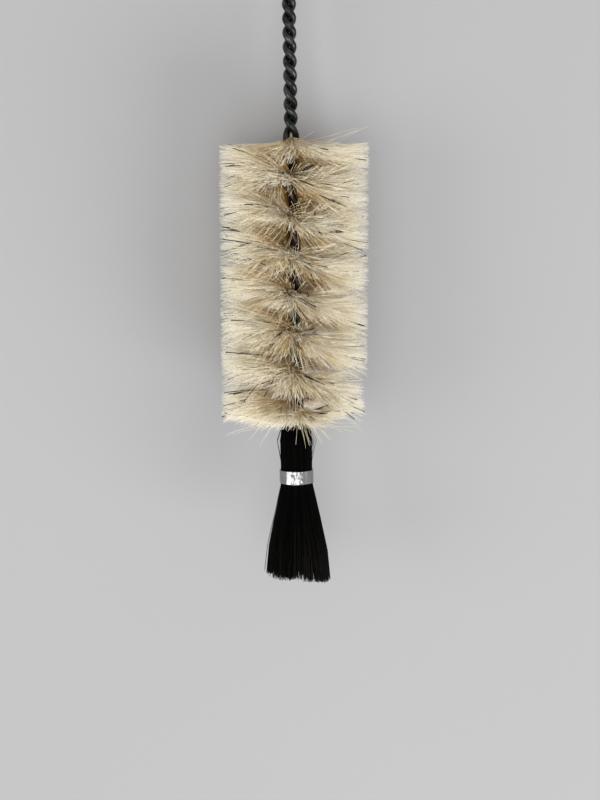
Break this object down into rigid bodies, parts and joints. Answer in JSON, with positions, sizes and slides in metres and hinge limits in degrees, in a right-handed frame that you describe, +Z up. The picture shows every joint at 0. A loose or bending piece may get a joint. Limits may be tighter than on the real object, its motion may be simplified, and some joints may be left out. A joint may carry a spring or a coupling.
{
  "type": "bottle brush",
  "caption": "Lab bottle brush: cylindrical natural-bristle head on a twisted wire handle with a hanging loop, and a banded tuft of black hair at the tip.",
  "frame": {"origin": "centre of the bounding box's bottom: the brush lies on the plane z = 0, on the rim of its bristle head and the end of its hanging loop", "axes": "+Y from the tuft towards the hanging loop, +Z up, +X across the brush; the brush's own axis drops 6 degrees towards the loop"},
  "size_m": [0.055, 0.399, 0.0641],
  "materials": {
    "wire": "satin",
    "pale_bristle": "satin",
    "black_hair": "satin",
    "band_metal": "satin"
  },
  "bodies": {
    "root": {"core_wire": "wire", "head_bristles": "pale_bristle", "tip_tuft": "black_hair", "tuft_band": "band_metal"}
  },
  "joints": []
}
